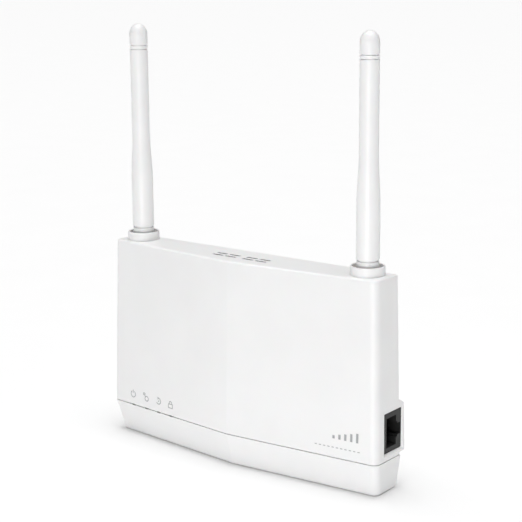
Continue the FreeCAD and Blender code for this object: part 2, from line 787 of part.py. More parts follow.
def screw(at, direction, length, scale=1.0):
    # A pan head with a cross recess; at is the underside of the head
    r, h = screw_head * scale, screw_head_height * scale
    head = Part.makeCylinder(r, h, at, direction * -1)
    rim = [e for e in head.Edges if (e.CenterOfMass - at).Length > h - 0.01 and len(e.Vertexes) == 1]
    head = head.makeFillet(0.45 * scale, rim)
    shank = Part.makeCylinder(screw_shank * scale, length, at, direction)
    solid = head.fuse(shank)
    top = at - direction * h
    for turn in (0, 90):
        bar = Part.makeBox(2.4 * scale, 0.5 * scale, 0.8 * scale, V(-1.2 * scale, -0.25 * scale, -0.4 * scale))
        bar.rotate(V(0, 0, 0), V(0, 0, 1), turn)
        bar.Placement = FreeCAD.Placement(top, FreeCAD.Rotation(V(0, 0, 1), direction)).multiply(bar.Placement)
        solid = solid.cut(bar)
    return solid


def case_screws():
    return group([screw(V(x, back(1.5), z), V(0, -1, 0), 10.0) for x, z in case_screw_at])


def base_screws():
    y = back(base_screw_depth)
    return group([screw(V(s * base_screw_x, y, 10.5), V(0, 0, 1), 10.0) for s in (-1, 1)])


def board_screws():
    return group([screw(V(x, back(board_back), z), V(0, -1, 0), 3.8, 0.8) for x, z in board_screw_at])


def main():
    outer, cavity = upper_outer(), upper_cavity()
    save("front_shell", front_shell(outer, cavity))
    save("rear_cover", rear_cover(outer, cavity))
    save("lower_cover", lower_cover())
    save("light_guide", light_guide())
    save("rating_label", label_plate(0))
    leads = dict(zip(("left", "right"), coax_leads()))
    for side, sign in (("left", -1), ("right", 1)):
        x, y = sign * antenna_x, back(antenna_depth)
        save(side + "_collar", collar(x, y))
        save(side + "_swivel_washer", swivel_washer(x, y))
        save(side + "_swivel_cup", swivel_cup(x, y))
        save(side + "_swivel_clip", swivel_clip(x, y))
        save(side + "_tilt_pins", tilt_pins(x, y))
        save(side + "_antenna_foot", antenna_foot(x, y))
        save(side + "_antenna_stick", antenna_stick(x, y))
        save(side + "_antenna_cap", antenna_cap(x, y))
        save(side + "_antenna_element", element_strip(x, y))
        save(side + "_antenna_coax", antenna_coax(x, y))
        save(side + "_coax_lead", leads[side])
    save("lan_socket", lan_socket())
    save("lan_contacts", lan_contacts())
    save("plug_carrier", plug_carrier())
    save("plug_blades", group(blade_solids()))
    save("plug_pivots", group(plug_pivots()))
    save("plug_contacts", group(plug_contacts()))
    save("power_leads", group(power_leads()))
    save("main_board", main_board())
    save("power_board", power_board())
    save("rf_shield", rf_shield())
    save("radio_chips", radio_chips())
    save("heat_spreader", heat_spreader())
    save("lan_magnetics", lan_magnetics())
    save("coax_connectors", coax_connectors())
    save("lamp_chips", lamp_chips())
    save("transformer_core", transformer_core())
    save("transformer_winding", transformer_winding())
    save("power_capacitors", power_capacitors())
    save("mains_filter", mains_filter())
    save("board_link", board_link())
    save("pair_button", pair_button())
    save("pair_plunger", pair_plunger())
    save("pair_switch", pair_switch())
    save("reset_switch", reset_switch())
    save("reset_plunger", reset_plunger())
    save("case_screws", case_screws())
    save("base_screws", base_screws())
    save("board_screws", board_screws())


main()
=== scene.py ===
import json
import math

import bpy
from mathutils import Matrix, Vector


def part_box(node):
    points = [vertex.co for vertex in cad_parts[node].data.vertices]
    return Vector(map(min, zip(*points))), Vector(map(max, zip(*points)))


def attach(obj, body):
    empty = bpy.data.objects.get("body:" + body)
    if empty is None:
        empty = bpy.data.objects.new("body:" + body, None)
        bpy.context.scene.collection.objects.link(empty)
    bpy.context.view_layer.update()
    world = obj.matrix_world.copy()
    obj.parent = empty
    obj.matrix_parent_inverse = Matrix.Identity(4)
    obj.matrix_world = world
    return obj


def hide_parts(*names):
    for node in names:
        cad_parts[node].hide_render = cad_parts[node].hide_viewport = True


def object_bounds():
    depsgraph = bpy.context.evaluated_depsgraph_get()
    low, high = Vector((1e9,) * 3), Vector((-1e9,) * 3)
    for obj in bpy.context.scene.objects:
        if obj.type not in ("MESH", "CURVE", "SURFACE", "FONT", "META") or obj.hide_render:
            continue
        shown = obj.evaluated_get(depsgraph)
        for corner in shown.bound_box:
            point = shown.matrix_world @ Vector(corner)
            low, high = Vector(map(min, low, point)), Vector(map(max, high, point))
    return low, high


# A white wifi range extender: casing, two jointed antennas, LAN socket and folding plug.
# Metres throughout, in the CAD frame. Sizes in the dictionaries are millimetres, but for the light's
# and the floor's, which are metres.

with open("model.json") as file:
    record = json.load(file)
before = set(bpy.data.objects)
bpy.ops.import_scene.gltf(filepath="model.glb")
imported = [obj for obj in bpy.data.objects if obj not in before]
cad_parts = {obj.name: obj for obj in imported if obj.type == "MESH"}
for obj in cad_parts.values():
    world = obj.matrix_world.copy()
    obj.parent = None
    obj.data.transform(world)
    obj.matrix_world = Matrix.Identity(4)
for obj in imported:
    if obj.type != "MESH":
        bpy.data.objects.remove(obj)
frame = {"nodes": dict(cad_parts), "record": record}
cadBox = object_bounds()
nodes = frame["nodes"]
mm = 0.001


def linear(hexColour):
    # An sRGB hex colour as the linear one that a shader takes
    parts = [int(hexColour[i:i + 2], 16) / 255 for i in (1, 3, 5)]
    return [c / 12.92 if c <= 0.04045 else ((c + 0.055) / 1.055) ** 2.4 for c in parts] + [1]


def addNode(tree, kind, inputs=None, **settings):
    # inputs: a socket's name or number, with its value, a hex colour, or the node or socket that feeds it
    node = tree.nodes.new(kind)
    for name, value in settings.items():
        setattr(node, name, value)
    for key, value in (inputs or {}).items():
        if isinstance(value, bpy.types.Node):
            value = next(s for s in value.outputs if s.enabled)
        if isinstance(value, bpy.types.NodeSocket):
            tree.links.new(value, node.inputs[key])
        else:
            node.inputs[key].default_value = linear(value) if isinstance(value, str) else value
    return node


def centre(node):
    low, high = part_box(node)
    return (low + high) / 2


def startMaterial(name, **sockets):
    # An empty material with its shader, and coordinates in millimetres
    material = bpy.data.materials.new(name)
    material.use_nodes = True
    tree = material.node_tree
    tree.nodes.clear()
    shader = addNode(tree, "ShaderNodeBsdfPrincipled", sockets)
    addNode(tree, "ShaderNodeOutputMaterial", {"Surface": shader})
    place = addNode(tree, "ShaderNodeTexCoord")
    inMillimetres = addNode(tree, "ShaderNodeMapping", {"Vector": place.outputs["Object"],
                                                        "Scale": (1 / mm,) * 3})
    return material, tree, shader, inMillimetres


def mouldedPlastic(name, look):
    # Spark-eroded mould grain as bump, a faint flow cloud in the colour, and gloss that wanders with both
    material, tree, shader, place = startMaterial(name, **{
        "IOR": look["ior"], "Subsurface Weight": look.get("subsurface", 0.0),
        "Subsurface Scale": look.get("depth", 0.3) * mm})
    cloud = addNode(tree, "ShaderNodeTexNoise",
                    {"Vector": place, "Scale": 1 / look["cloud"], "Detail": 2.0})
    grain = addNode(tree, "ShaderNodeTexNoise",
                    {"Vector": place, "Scale": 1 / look["grain"], "Detail": 4.0, "Roughness": 0.6})
    pits = addNode(tree, "ShaderNodeTexVoronoi", {"Vector": place, "Scale": 0.6 / look["grain"]})
    flow = addNode(tree, "ShaderNodeMapRange", {"Value": cloud, "From Min": 0.3, "From Max": 0.7})
    fleck = addNode(tree, "ShaderNodeMapRange", {"Value": grain, "From Min": 0.62, "From Max": 0.8,
                                                 "To Max": look.get("fleck", 0.12)})
    # On a colour mix, inputs 6 and 7 are its two colours and output 2 is its result
    base = addNode(tree, "ShaderNodeMix", {"Factor": flow, 6: look["colour"], 7: look["shade"]},
                   data_type="RGBA")
    flecked = addNode(tree, "ShaderNodeMix",
                      {"Factor": fleck, 6: base.outputs[2], 7: look["fleckColour"]}, data_type="RGBA")
    tree.links.new(flecked.outputs[2], shader.inputs["Base Color"])
    drift = addNode(tree, "ShaderNodeMapRange", {"Value": cloud, "From Min": 0.3, "From Max": 0.7,
                                                 "To Min": -0.03, "To Max": 0.03})
    smooth, rough = look["roughness"]
    gloss = addNode(tree, "ShaderNodeMapRange", {"Value": grain, "From Min": 0.3, "From Max": 0.7,
                                                 "To Min": smooth, "To Max": rough})
    gloss = addNode(tree, "ShaderNodeMath", {0: drift, 1: gloss}, operation="ADD")
    tree.links.new(gloss.outputs[0], shader.inputs["Roughness"])
    height = addNode(tree, "ShaderNodeMath", {0: grain, 1: pits}, operation="ADD")
    bump = addNode(tree, "ShaderNodeBump", {"Height": height, "Strength": look["bump"],
                                            "Distance": look["grainDepth"] * mm})
    tree.links.new(bump.outputs[0], shader.inputs["Normal"])
    return material


def workedMetal(name, look):
    # Marks stretched along the way it was drawn, rolled or turned, with a thin tarnish cloud
    material, tree, shader, place = startMaterial(name, Metallic=1.0)
    drawn = addNode(tree, "ShaderNodeMapping", {"Vector": place, "Scale": [1 / s for s in look["along"]]})
    marks = addNode(tree, "ShaderNodeTexNoise",
                    {"Vector": drawn, "Scale": 1 / look["marks"], "Detail": 3.0, "Roughness": 0.7})
    cloud = addNode(tree, "ShaderNodeTexNoise",
                    {"Vector": place, "Scale": 1 / look["cloud"], "Detail": 3.0})
    both = addNode(tree, "ShaderNodeMath", {0: marks, 1: cloud}, operation="ADD")
    worn = addNode(tree, "ShaderNodeMapRange", {"Value": both, "From Min": 0.6, "From Max": 1.4})
    colour = addNode(tree, "ShaderNodeMix", {"Factor": worn, 6: look["colour"], 7: look["tarnish"]},
                     data_type="RGBA")
    tree.links.new(colour.outputs[2], shader.inputs["Base Color"])
    smooth, rough = look["roughness"]
    gloss = addNode(tree, "ShaderNodeMapRange", {"Value": worn, "To Min": smooth, "To Max": rough})
    tree.links.new(gloss.outputs[0], shader.inputs["Roughness"])
    bump = addNode(tree, "ShaderNodeBump",
                   {"Height": marks, "Strength": look["bump"], "Distance": 0.02 * mm})
    tree.links.new(bump.outputs[0], shader.inputs["Normal"])
    return material


plasticLooks = {
    # ABS, moulded in a fine spark-eroded tool: even, satin, barely warm white
    "whiteMouldedAbs": {"colour": "#f4f4f4", "shade": "#f1f1f1", "fleckColour": "#e9e9e8", "ior": 1.53,
                        "cloud": 24, "grain": 0.22, "grainDepth": 0.012, "bump": 0.35,
                        "roughness": (0.37, 0.45), "subsurface": 0.05, "depth": 0.5},
    # ASA sleeve: smoother than the casing, so it keeps a soft upright highlight
    "whiteAntennaSleeve": {"colour": "#f5f5f5", "shade": "#f2f2f2", "fleckColour": "#ececeb", "ior": 1.52,
                           "cloud": 14, "grain": 0.3, "grainDepth": 0.008, "bump": 0.25,
                           "roughness": (0.34, 0.42), "subsurface": 0.06, "depth": 0.5},
    # Acetal: milky and a little waxy
    "naturalAcetal": {"colour": "#ecebe6", "shade": "#e6e5df", "fleckColour": "#dddcd6", "ior": 1.48,
                      "cloud": 6, "grain": 0.4, "grainDepth": 0.01, "bump": 0.2,
                      "roughness": (0.3, 0.4), "subsurface": 0.2, "depth": 0.8},
    # Glass-filled PBT: black, with grey glass flecks near the skin
    "blackGlassFilledPbt": {"colour": "#0d0d0d", "shade": "#121212", "fleckColour": "#343434", "ior": 1.57,
                            "cloud": 3, "grain": 0.16, "grainDepth": 0.012, "bump": 0.5,
                            "roughness": (0.46, 0.6), "fleck": 0.4},
    # Epoxy moulding compound: matt near-black with a sandy skin
    "epoxyChip": {"colour": "#1b1b1d", "shade": "#232326", "fleckColour": "#3a3a3d", "ior": 1.55,
                  "cloud": 4, "grain": 0.1, "grainDepth": 0.02, "bump": 0.6,
                  "roughness": (0.5, 0.65), "fleck": 0.4},
    # Sintered ferrite: dull, slightly brown grey, porous
    "sinteredFerrite": {"colour": "#2d2c2b", "shade": "#37342f", "fleckColour": "#5a544c", "ior": 1.7,
                        "cloud": 3, "grain": 0.14, "grainDepth": 0.03, "bump": 0.8,
                        "roughness": (0.55, 0.75), "fleck": 0.5},
    # Shrunk PVC sleeve over an aluminium can: deep blue-black and shiny
    "shrunkCanSleeve": {"colour": "#171c2a", "shade": "#1c2233", "fleckColour": "#2c3348", "ior": 1.54,
                        "cloud": 5, "grain": 0.5, "grainDepth": 0.02, "bump": 0.2,
                        "roughness": (0.2, 0.32)},
    # Extruded FEP jacket of the coax: soft grey with a waxy sheen
    "greyCoaxJacket": {"colour": "#5c5d60", "shade": "#555659", "fleckColour": "#6c6d70", "ior": 1.4,
                       "cloud": 5, "grain": 0.2, "grainDepth": 0.01, "bump": 0.2,
                       "roughness": (0.3, 0.42)},
    # Extruded PVC wire cover: ivory, faintly mottled
    "ivoryPvcWire": {"colour": "#e9e6dc", "shade": "#e2ded2", "fleckColour": "#d6d1c2", "ior": 1.53,
                     "cloud": 5, "grain": 0.25, "grainDepth": 0.01, "bump": 0.25,
                     "roughness": (0.35, 0.48)},
    # Pad-printed ink: grey, matt and thin enough to show the mould grain
    "greyPadInk": {"colour": "#a6a7a9", "shade": "#aeafb1", "fleckColour": "#c2c3c5", "ior": 1.5,
                   "cloud": 3, "grain": 0.2, "grainDepth": 0.01, "bump": 0.4,
                   "roughness": (0.5, 0.62), "fleck": 0.5},
    # Polyester label film: bright, smooth, with the faint orange peel of its adhesive
    "polyesterLabelFilm": {"colour": "#dededd", "shade": "#d9d9d8", "fleckColour": "#cfcfce", "ior": 1.6,
                           "cloud": 9, "grain": 1.1, "grainDepth": 0.02, "bump": 0.25,
                           "roughness": (0.24, 0.34)},
}

metalLooks = {
    # Hard gold flashed on drawn phosphor bronze: warm and bright, drawn along X
    "goldPlatedContact": {"colour": "#e6c06a", "tarnish": "#c79a45", "marks": 0.08, "along": (8, 1, 1),
                          "cloud": 1.2, "roughness": (0.16, 0.3), "bump": 0.3},
    # Turned brass: rings round X
    "turnedBrass": {"colour": "#d6b269", "tarnish": "#a8863f", "marks": 0.1, "along": (1, 6, 6),
                    "cloud": 2.0, "roughness": (0.22, 0.38), "bump": 0.4},
    # Nickel on a stamped brass blade: cool, softly brushed along the blade
    "nickelPlatedBlade": {"colour": "#d3d0c9", "tarnish": "#b3aea3", "marks": 0.12, "along": (1, 1, 14),
                          "cloud": 3.0, "roughness": (0.18, 0.32), "bump": 0.35},
    # Zinc plate: bluish grey with a slightly cloudy bloom
    "zincPlatedSteel": {"colour": "#b9bcc2", "tarnish": "#8f9299", "marks": 0.15, "along": (1, 1, 1),
                        "cloud": 1.4, "roughness": (0.28, 0.45), "bump": 0.3},
    # Tinned sheet: pale, rolled along X
    "tinnedSheet": {"colour": "#c9c9c6", "tarnish": "#acaca7", "marks": 0.2, "along": (12, 1, 1),
                    "cloud": 5.0, "roughness": (0.3, 0.46), "bump": 0.3},
    # Bare extruded aluminium: grey, with long die lines
    "bareAluminium": {"colour": "#c4c5c7", "tarnish": "#a2a4a7", "marks": 0.15, "along": (20, 1, 1),
                      "cloud": 6.0, "roughness": (0.35, 0.5), "bump": 0.4},
}

materials = {name: mouldedPlastic(name, look) for name, look in plasticLooks.items()}
materials.update({name: workedMetal(name, look) for name, look in metalLooks.items()})


def smokyLightGuide():
    # Polycarbonate with a smoke tint: dark and glassy, with faint flow lines from its gate
    look = {"tint": "#8d8f8c", "streak": "#a5a7a3", "flow": 0.5, "along": (10, 1, 1),
            "roughness": (0.16, 0.3)}
    material, tree, shader, place = startMaterial("smokyLightGuide",
                                                  **{"IOR": 1.58, "Transmission Weight": 0.35})
    drawn = addNode(tree, "ShaderNodeMapping", {"Vector": place, "Scale": [1 / s for s in look["along"]]})
    flow = addNode(tree, "ShaderNodeTexNoise",
                   {"Vector": drawn, "Scale": 1 / look["flow"], "Detail": 3.0})
    colour = addNode(tree, "ShaderNodeMix", {"Factor": flow, 6: look["tint"], 7: look["streak"]},
                     data_type="RGBA")
    tree.links.new(colour.outputs[2], shader.inputs["Base Color"])
    smooth, rough = look["roughness"]
    gloss = addNode(tree, "ShaderNodeMapRange", {"Value": flow, "To Min": smooth, "To Max": rough})
    tree.links.new(gloss.outputs[0], shader.inputs["Roughness"])
    bump = addNode(tree, "ShaderNodeBump", {"Height": flow, "Strength": 0.2, "Distance": 0.02 * mm})
    tree.links.new(bump.outputs[0], shader.inputs["Normal"])
    return material


def glassEpoxyBoard():
    # Solder mask over copper: darker bare laminate, lighter tracks at 1.6 mm pitch, weave under it all
    look = {"mask": "#1f5a34", "track": "#2f7a48", "laminate": "#1a4a2d", "pitch": 1.6, "weave": 0.5,
            "roughness": (0.3, 0.42)}
    material, tree, shader, place = startMaterial("glassEpoxyBoard", IOR=1.5)
    tracks = addNode(tree, "ShaderNodeTexBrick", {
        "Vector": place, "Scale": 1 / look["pitch"], "Mortar Size": 0.12, "Mortar Smooth": 0.3,
        "Color1": look["mask"], "Color2": look["laminate"], "Mortar": look["track"]})
    weave = addNode(tree, "ShaderNodeTexWave", {"Vector": place, "Scale": 0.16 / look["weave"],
                                                "Distortion": 0.6})
    threads = addNode(tree, "ShaderNodeMapRange", {"Value": weave.outputs["Fac"], "To Max": 0.25})
    colour = addNode(tree, "ShaderNodeMix",
                     {"Factor": threads, 6: tracks.outputs["Color"], 7: look["laminate"]},
                     data_type="RGBA")
    tree.links.new(colour.outputs[2], shader.inputs["Base Color"])
    smooth, rough = look["roughness"]
    gloss = addNode(tree, "ShaderNodeMapRange",
                    {"Value": weave.outputs["Fac"], "To Min": smooth, "To Max": rough})
    tree.links.new(gloss.outputs[0], shader.inputs["Roughness"])
    bump = addNode(tree, "ShaderNodeBump", {"Height": tracks.outputs["Fac"], "Strength": 0.5,
                                            "Distance": 0.05 * mm})
    tree.links.new(bump.outputs[0], shader.inputs["Normal"])
    return material


def tapedWinding():
    # Enamelled copper under polyester tape: the turns show through as fine ribs 0.35 mm apart
    look = {"tape": "#d9b64a", "gap": "#8a5a1d", "turn": 0.35, "roughness": (0.25, 0.45)}
    material, tree, shader, place = startMaterial("tapedWinding", **{"IOR": 1.6, "Coat Weight": 0.3})
    turns = addNode(tree, "ShaderNodeTexWave", {"Vector": place, "Scale": 0.16 / look["turn"],
                                                "Distortion": 0.4}, bands_direction="Z")
    ribs = addNode(tree, "ShaderNodeMapRange",
                   {"Value": turns.outputs["Fac"], "From Min": 0.1, "From Max": 0.6})
    colour = addNode(tree, "ShaderNodeMix", {"Factor": ribs, 6: look["gap"], 7: look["tape"]},
                     data_type="RGBA")
    tree.links.new(colour.outputs[2], shader.inputs["Base Color"])
    smooth, rough = look["roughness"]
    gloss = addNode(tree, "ShaderNodeMapRange",
                    {"Value": turns.outputs["Fac"], "To Min": rough, "To Max": smooth})
    tree.links.new(gloss.outputs[0], shader.inputs["Roughness"])
    bump = addNode(tree, "ShaderNodeBump",
                   {"Height": turns.outputs["Fac"], "Strength": 0.6, "Distance": 0.08 * mm})
    tree.links.new(bump.outputs[0], shader.inputs["Normal"])
    return material


for made in (smokyLightGuide(), glassEpoxyBoard(), tapedWinding()):
    materials[made.name] = made

slotFinish = {
    "white_abs": "whiteMouldedAbs", "white_antenna": "whiteAntennaSleeve", "white_pom": "naturalAcetal",
    "clear_guide": "smokyLightGuide", "black_pbt": "blackGlassFilledPbt",
    "label_film": "polyesterLabelFilm", "gold_contact": "goldPlatedContact", "brass": "turnedBrass",
    "nickel_blade": "nickelPlatedBlade", "steel": "zincPlatedSteel", "tin_shield": "tinnedSheet",
    "aluminium": "bareAluminium", "board": "glassEpoxyBoard", "chip": "epoxyChip",
    "ferrite": "sinteredFerrite", "winding": "tapedWinding", "capacitor": "shrunkCanSleeve",
    "grey_cable": "greyCoaxJacket", "wire": "ivoryPvcWire"}

for part in frame["record"]["subparts"]:
    finish = materials[slotFinish[part["material_slot"]]]
    mesh = nodes[part["node"]].data
    if not mesh.materials:
        mesh.materials.append(finish)
    for holder in nodes[part["node"]].material_slots:
        holder.material = finish
print("materials:", len(materials), "finishes on the CAD nodes")


def newTree(name, inputs):
    # A modifier tree; inputs are (name, kind of socket, value)
    tree = bpy.data.node_groups.new(name, "GeometryNodeTree")
    tree.is_modifier = True
    tree.interface.new_socket("Geometry", in_out="INPUT", socket_type="NodeSocketGeometry")
    tree.interface.new_socket("Geometry", in_out="OUTPUT", socket_type="NodeSocketGeometry")
    for label, kind, value in inputs:
        socket = tree.interface.new_socket(label, in_out="INPUT", socket_type="NodeSocket" + kind)
        if value is not None:
            socket.default_value = value
    start = addNode(tree, "NodeGroupInput")
    return tree, start.outputs


def endTree(tree, geometry, material):
    real = addNode(tree, "GeometryNodeRealizeInstances", {"Geometry": geometry})
    painted = addNode(tree, "GeometryNodeSetMaterial", {"Geometry": real, "Material": material})
    addNode(tree, "NodeGroupOutput", {"Geometry": painted})


def grow(name, tree, points, edges, values, body, replaces=()):
    # Runs a tree on points and edges, and keeps the result as a plain mesh that rides on a body
    mesh = bpy.data.meshes.new(name + "Source")
    mesh.from_pydata([Vector(p) for p in points], edges, [])
    source = bpy.data.objects.new(name + "Source", mesh)
    bpy.context.scene.collection.objects.link(source)
    modifier = source.modifiers.new("grow", "NODES")
    modifier.node_group = tree
    sockets = {s.name: s.identifier for s in tree.interface.items_tree if s.in_out == "INPUT"}
    for label, value in values.items():
        modifier[sockets[label]] = value
    evaluated = source.evaluated_get(bpy.context.evaluated_depsgraph_get())
    result = bpy.data.meshes.new_from_object(evaluated)
    source.modifiers.remove(modifier)
    bpy.data.objects.remove(source)
    result.name = name
    piece = bpy.data.objects.new(name, result)
    bpy.context.scene.collection.objects.link(piece)
    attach(piece, body)
    if replaces:
        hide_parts(*replaces)
    print("  ", name, len(result.polygons), "faces")
    return piece


def turnedTree():
    # Turns a profile of points (radius, 0, height) round an upright axis; the last point joins the first
    tree, given = newTree("turnedPiece", [
        ("Segments", "Int", 96), ("Rows", "Int", 2), ("Axis", "Vector", None),
        ("Crisp angle", "Float", 0.5), ("Material", "Material", None)])
    columns = addNode(tree, "ShaderNodeMath", {0: given["Segments"], 1: 1}, operation="ADD")
    grid = addNode(tree, "GeometryNodeMeshGrid", {"Vertices X": columns, "Vertices Y": given["Rows"]})
    index = addNode(tree, "GeometryNodeInputIndex")
    column = addNode(tree, "ShaderNodeMath", {0: index, 1: given["Rows"]}, operation="DIVIDE")
    column = addNode(tree, "ShaderNodeMath", {0: column}, operation="FLOOR")
    row = addNode(tree, "ShaderNodeMath", {0: index, 1: given["Rows"]}, operation="FLOORED_MODULO")
    turn = addNode(tree, "ShaderNodeMath", {0: column, 1: given["Segments"]}, operation="DIVIDE")
    turn = addNode(tree, "ShaderNodeMath", {0: turn, 1: math.tau}, operation="MULTIPLY")
    place = addNode(tree, "GeometryNodeInputPosition")
    profile = addNode(tree, "GeometryNodeSampleIndex",
                      {"Geometry": given["Geometry"], "Value": place, "Index": row},
                      data_type="FLOAT_VECTOR")
    turned = addNode(tree, "ShaderNodeVectorRotate", {"Vector": profile, "Angle": turn},
                     rotation_type="Z_AXIS")
    moved = addNode(tree, "ShaderNodeVectorMath", {0: turned, 1: given["Axis"]}, operation="ADD")
    shape = addNode(tree, "GeometryNodeSetPosition",
                    {"Geometry": grid.outputs["Mesh"], "Position": moved})
    closed = addNode(tree, "GeometryNodeMergeByDistance", {"Geometry": shape, "Distance": 0.002 * mm})
    # Rows that meet on the axis fold up into bare edges, which go
    touching = addNode(tree, "GeometryNodeInputMeshEdgeNeighbors")
    bare = addNode(tree, "FunctionNodeCompare", {2: touching, 3: 0}, data_type="INT", operation="EQUAL")
    closed = addNode(tree, "GeometryNodeDeleteGeometry",
                     {"Geometry": closed, "Selection": bare.outputs[0]}, domain="EDGE", mode="EDGE_FACE")
    angle = addNode(tree, "GeometryNodeInputMeshEdgeAngle")
    soft = addNode(tree, "FunctionNodeCompare", {0: angle.outputs[0], 1: given["Crisp angle"]},
                   operation="LESS_THAN")
    shaded = addNode(tree, "GeometryNodeSetShadeSmooth", {"Geometry": closed, "Shade Smooth": soft},
                     domain="EDGE")
    endTree(tree, shaded, given["Material"])
    return tree


turnedPiece = turnedTree()


def arc(centreAt, radius, start, end, steps):
    # Points on a quarter or so of an ellipse; angles in degrees, radius a number or (across, up)
    across, up = radius if isinstance(radius, tuple) else (radius, radius)
    angles = [math.radians(start + (end - start) * i / steps) for i in range(steps + 1)]
    return [(centreAt[0] + across * math.cos(a), centreAt[1] + up * math.sin(a)) for a in angles]


def turn(name, outline, axis, body, slot, replaces, material, segments=96):
    # outline: (radius, height) in millimetres, going up the outside and down the inside
    points = [(max(r, 0) * mm, 0, z * mm) for r, z in outline + outline[:1]]
    values = {"Segments": segments, "Rows": len(points), "Axis": Vector((axis.x, axis.y, 0)),
              "Crisp angle": math.radians(32), "Material": materials[material]}
    return grow(name, turnedPiece, points, [], values, body, replaces)


antenna = {"base": 4.55, "upper": 3.74, "capRadius": 3.78, "lip": 0.5, "taperStart": 111.6,
           "taperEnd": 132.1, "taperSteps": 24, "seat": 91.8, "jointAt": 167.1, "jointGap": 0.2,
           "ringAt": 168.65, "ringHalf": 0.2, "ringDepth": 0.6, "top": 177.6, "domeHeight": 4.5,
           "bore": 2.9, "plugDepth": 6.1, "softEdge": 0.1}


def smoothstep(t):
    return t * t * (3 - 2 * t)


def stickOutline(a):
    # Rounded lower lip, parallel length, smooth taper, and a straight run up to the cap
    low = arc((a["base"] - a["lip"], a["seat"] + a["lip"]), a["lip"], -90, 0, 8)
    upper, steps = a["upper"], a["taperSteps"]
    span = a["taperEnd"] - a["taperStart"]
    taper = [(a["base"] + (upper - a["base"]) * smoothstep(i / steps), a["taperStart"] + span * i / steps)
             for i in range(steps + 1)]
    end, edge = a["jointAt"] - a["jointGap"], a["softEdge"]
    high = [(upper, end - edge), (upper - edge * 0.3, end - edge * 0.3), (upper - edge, end)]
    straight = [(upper, a["taperEnd"] + (end - a["taperEnd"]) * i / 4) for i in range(1, 4)]
    return low + taper + straight + high + [(a["bore"], end), (a["bore"], a["seat"])]


def capOutline(a):
    # Soft lower edge, grooved ring, dome, and the plug that goes down into the sleeve
    low, ring, edge, half = a["jointAt"] + a["jointGap"], a["ringAt"], a["softEdge"], a["ringHalf"]
    r, inner = a["upper"], a["upper"] - a["ringDepth"]
    wall = [(inner, low), (r - edge, low), (r - edge * 0.3, low + edge * 0.3), (r, low + edge),
            (r, ring - half - edge * 0.6), (r - edge * 0.5, ring - half),
            (inner, ring - half * 0.8), (inner, ring + half * 0.8),
            (r - edge * 0.5, ring + half), (r + 0.01, ring + half + edge * 0.6)]
    dome = arc((0, a["top"] - a["domeHeight"]), (a["capRadius"], a["domeHeight"]), 0, 90, 20)
    end, plugEnd = a["jointAt"] - a["jointGap"], a["jointAt"] - a["plugDepth"]
    return wall + dome + [(0, plugEnd), (a["bore"], plugEnd), (a["bore"], end), (inner, end)]


antennaFoot = {"skirtLow": 88.6, "skirtTop": 91.36, "lowRadius": 4.05, "midRadius": 4.4,
               "topRadius": 4.28, "neck": 2.2, "eye": 2.9, "tilt": 84.0, "grooveRadius": 3.75,
               "shankTop": 97.4, "bore": 0.75, "shoulder": 0.5}


def footOutline(f):
    # Round eye on the tilt pins, neck, skirt with a shoulder, groove, and the shank inside the sleeve
    eye = arc((0, f["tilt"]), f["eye"], -75, 40, 18)
    low, shoulder, top = f["skirtLow"], f["skirtLow"] + f["shoulder"], f["skirtTop"]
    return [(f["bore"], eye[0][1])] + eye + [
        (f["neck"], f["tilt"] + f["eye"] * 0.7), (f["neck"], low), (f["lowRadius"] - 0.1, low),
        (f["lowRadius"], low + 0.08), (f["midRadius"] - 0.05, shoulder - 0.1), (f["midRadius"], shoulder),
        (f["topRadius"] + 0.02, top - 0.12), (f["topRadius"] - 0.1, top),
        (f["grooveRadius"], top), (f["grooveRadius"], antenna["seat"]),
        (antenna["bore"], antenna["seat"]), (antenna["bore"], f["shankTop"]), (f["bore"], f["shankTop"])]


collarRing = {"outer": 6.75, "bore": 5.95, "rim": 89.6, "lip": 0.35, "floor": 86.4, "seat": 85.2,
              "shaft": 4.7, "sleeve": 5.3, "sleeveEnd": 80.6}


def collarOutline(c):
    # Sleeve under the casing's top, then the ring with its rounded rim
    outer, bore, lip, shaft = c["outer"], c["bore"], c["lip"], c["shaft"]
    sleeve = [(shaft, c["sleeveEnd"]), (c["sleeve"], c["sleeveEnd"]), (c["sleeve"], c["seat"]),
              (outer, c["seat"])]
    rim = arc((outer - lip, c["rim"] - lip), lip, 0, 90, 8) \
        + arc((bore + lip, c["rim"] - lip), lip, 90, 180, 8)
    return sleeve + rim + [(bore, c["floor"] + 0.3), (bore - 0.25, c["floor"]), (shaft, c["floor"])]


for side in ("left", "right"):
    axis = centre(side + "_collar")
    for part, outline in (("Stick", stickOutline(antenna)), ("Cap", capOutline(antenna)),
                          ("Foot", footOutline(antennaFoot))):
        turn(side + "Antenna" + part, outline, axis, side + "_antenna", "white_antenna",
             [side + "_antenna_" + part.lower()], "whiteAntennaSleeve")
    turn(side + "Collar", collarOutline(collarRing), axis, "casing", "white_abs", [side + "_collar"],
         "whiteMouldedAbs")
print("antennas: done")


